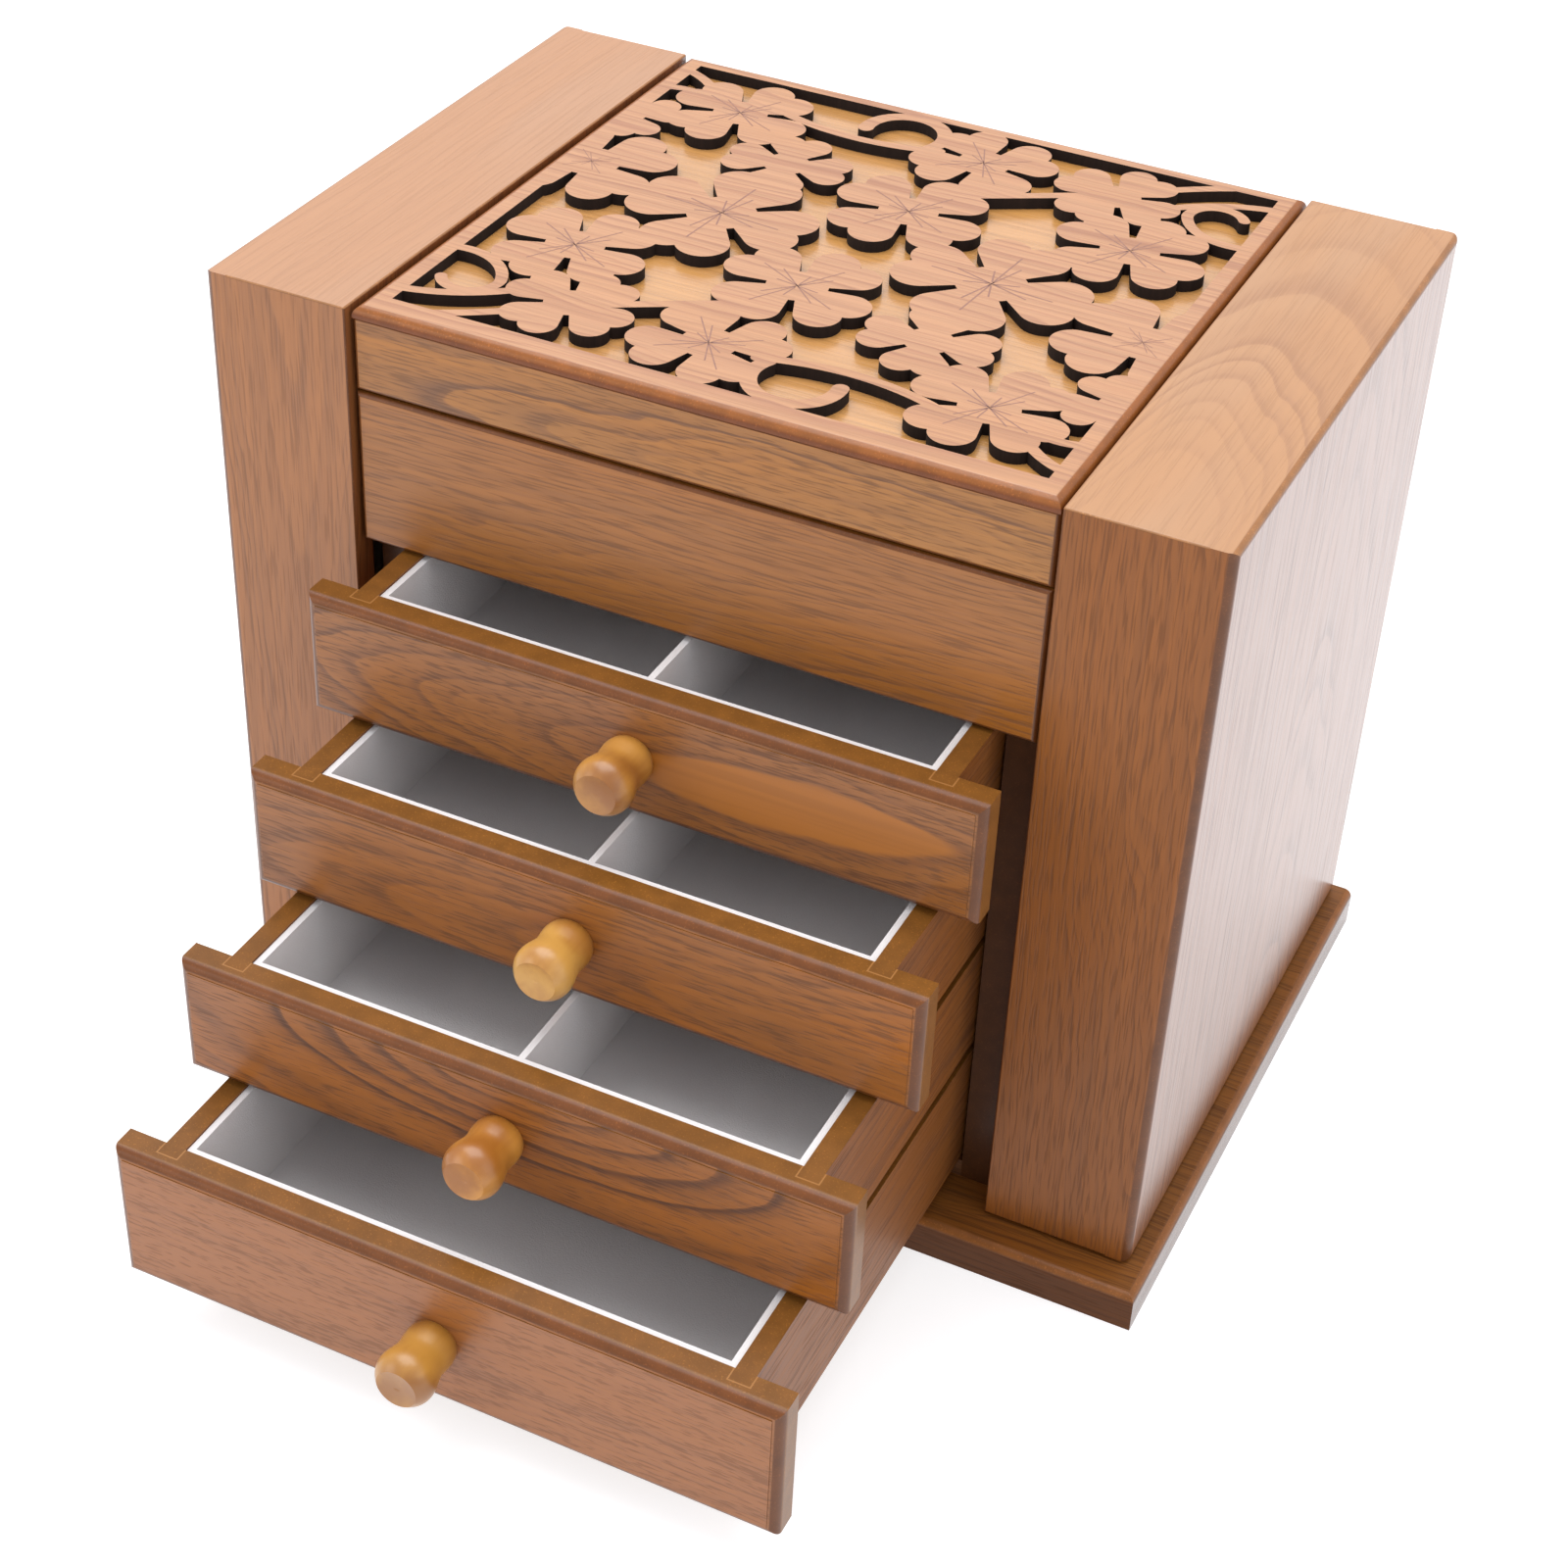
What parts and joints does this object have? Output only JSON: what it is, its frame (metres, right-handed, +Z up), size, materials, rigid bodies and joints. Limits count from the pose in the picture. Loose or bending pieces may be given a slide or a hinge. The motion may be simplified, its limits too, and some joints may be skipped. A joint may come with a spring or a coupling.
{
  "type": "jewelry box",
  "caption": "Wooden jewelry box with a clover fretwork lid, pull-out drawers with round knobs, and swing-out side wings.",
  "frame": {"origin": "middle of the plinth's underside, on the table", "axes": "+X to the right seen from the front, +Y to the back, +Z up; drawers open towards -Y"},
  "size_m": [0.302, 0.3521, 0.2485],
  "materials": {
    "walnut_veneer": "satin",
    "tan_veneer": "satin",
    "golden_veneer": "gloss",
    "inner_wood": "matte",
    "honey_wood": "gloss",
    "white_flock": "flocked",
    "brass": "satin",
    "screw_brass": "satin",
    "mirror": "polished"
  },
  "bodies": {
    "cabinet": {"plinth": "walnut_veneer", "cabinet_wall_left": "walnut_veneer", "cabinet_wall_right": "walnut_veneer", "cabinet_bottom": "inner_wood", "cabinet_back": "walnut_veneer", "drawer_shelves": "inner_wood", "tray_front_panel": "walnut_veneer", "tray_floor": "inner_wood", "tray_lining": "white_flock", "lid_hinge_cabinet_leaves": "brass", "wing_hinge_cabinet_leaves": "brass", "hinge_pins": "brass", "cabinet_hinge_screws": "screw_brass"},
    "lid": {"lid_front_rail": "walnut_veneer", "lid_back_rail": "walnut_veneer", "lid_side_rails": "walnut_veneer", "lid_panel": "golden_veneer", "lid_fretwork": "tan_veneer", "lid_mirror": "mirror", "lid_hinge_leaves": "brass", "lid_hinge_screws": "screw_brass"},
    "wing_left": {"wing_left_front": "walnut_veneer", "wing_left_back": "walnut_veneer", "wing_left_ends": "walnut_veneer", "wing_left_outer_panel": "walnut_veneer", "wing_left_lining": "white_flock", "wing_left_hook_rail": "walnut_veneer", "wing_left_hooks": "brass", "wing_left_hinge_leaves": "brass", "wing_left_hinge_screws": "screw_brass"},
    "wing_right": {"wing_right_front": "walnut_veneer", "wing_right_back": "walnut_veneer", "wing_right_ends": "walnut_veneer", "wing_right_outer_panel": "walnut_veneer", "wing_right_lining": "white_flock", "wing_right_hook_rail": "walnut_veneer", "wing_right_hooks": "brass", "wing_right_hinge_leaves": "brass", "wing_right_hinge_screws": "screw_brass"},
    "drawer_1": {"drawer_1_front": "walnut_veneer", "drawer_1_box": "inner_wood", "drawer_1_lining": "white_flock", "drawer_1_knob": "honey_wood", "drawer_1_knob_screw": "screw_brass"},
    "drawer_2": {"drawer_2_front": "walnut_veneer", "drawer_2_box": "inner_wood", "drawer_2_lining": "white_flock", "drawer_2_knob": "honey_wood", "drawer_2_knob_screw": "screw_brass"},
    "drawer_3": {"drawer_3_front": "walnut_veneer", "drawer_3_box": "inner_wood", "drawer_3_lining": "white_flock", "drawer_3_knob": "honey_wood", "drawer_3_knob_screw": "screw_brass"},
    "drawer_4": {"drawer_4_front": "walnut_veneer", "drawer_4_box": "inner_wood", "drawer_4_lining": "white_flock", "drawer_4_knob": "honey_wood", "drawer_4_knob_screw": "screw_brass"}
  },
  "joints": [
    {"name": "lid_hinge", "type": "hinge", "parent": "cabinet", "child": "lid", "pos_m": [0, 0.10505, 0.2234], "axis": [-1, 0, 0], "range_deg": [0, 95]},
    {"name": "wing_right_hinge", "type": "hinge", "parent": "cabinet", "child": "wing_right", "pos_m": [0.1005, 0.10505, 0.131], "axis": [0, 0, 1], "range_deg": [0, 90]},
    {"name": "wing_left_hinge", "type": "hinge", "parent": "cabinet", "child": "wing_left", "pos_m": [-0.1005, 0.10505, 0.131], "axis": [0, 0, -1], "range_deg": [0, 90]},
    {"name": "drawer_1_slide", "type": "slide", "parent": "cabinet", "child": "drawer_1", "axis": [0, -1, 0], "range_m": [-0.0302, 0.1198]},
    {"name": "drawer_2_slide", "type": "slide", "parent": "cabinet", "child": "drawer_2", "axis": [0, -1, 0], "range_m": [-0.0622, 0.0878]},
    {"name": "drawer_3_slide", "type": "slide", "parent": "cabinet", "child": "drawer_3", "axis": [0, -1, 0], "range_m": [-0.0996, 0.0504]},
    {"name": "drawer_4_slide", "type": "slide", "parent": "cabinet", "child": "drawer_4", "axis": [0, -1, 0], "range_m": [-0.1351, 0.0149]}
  ]
}
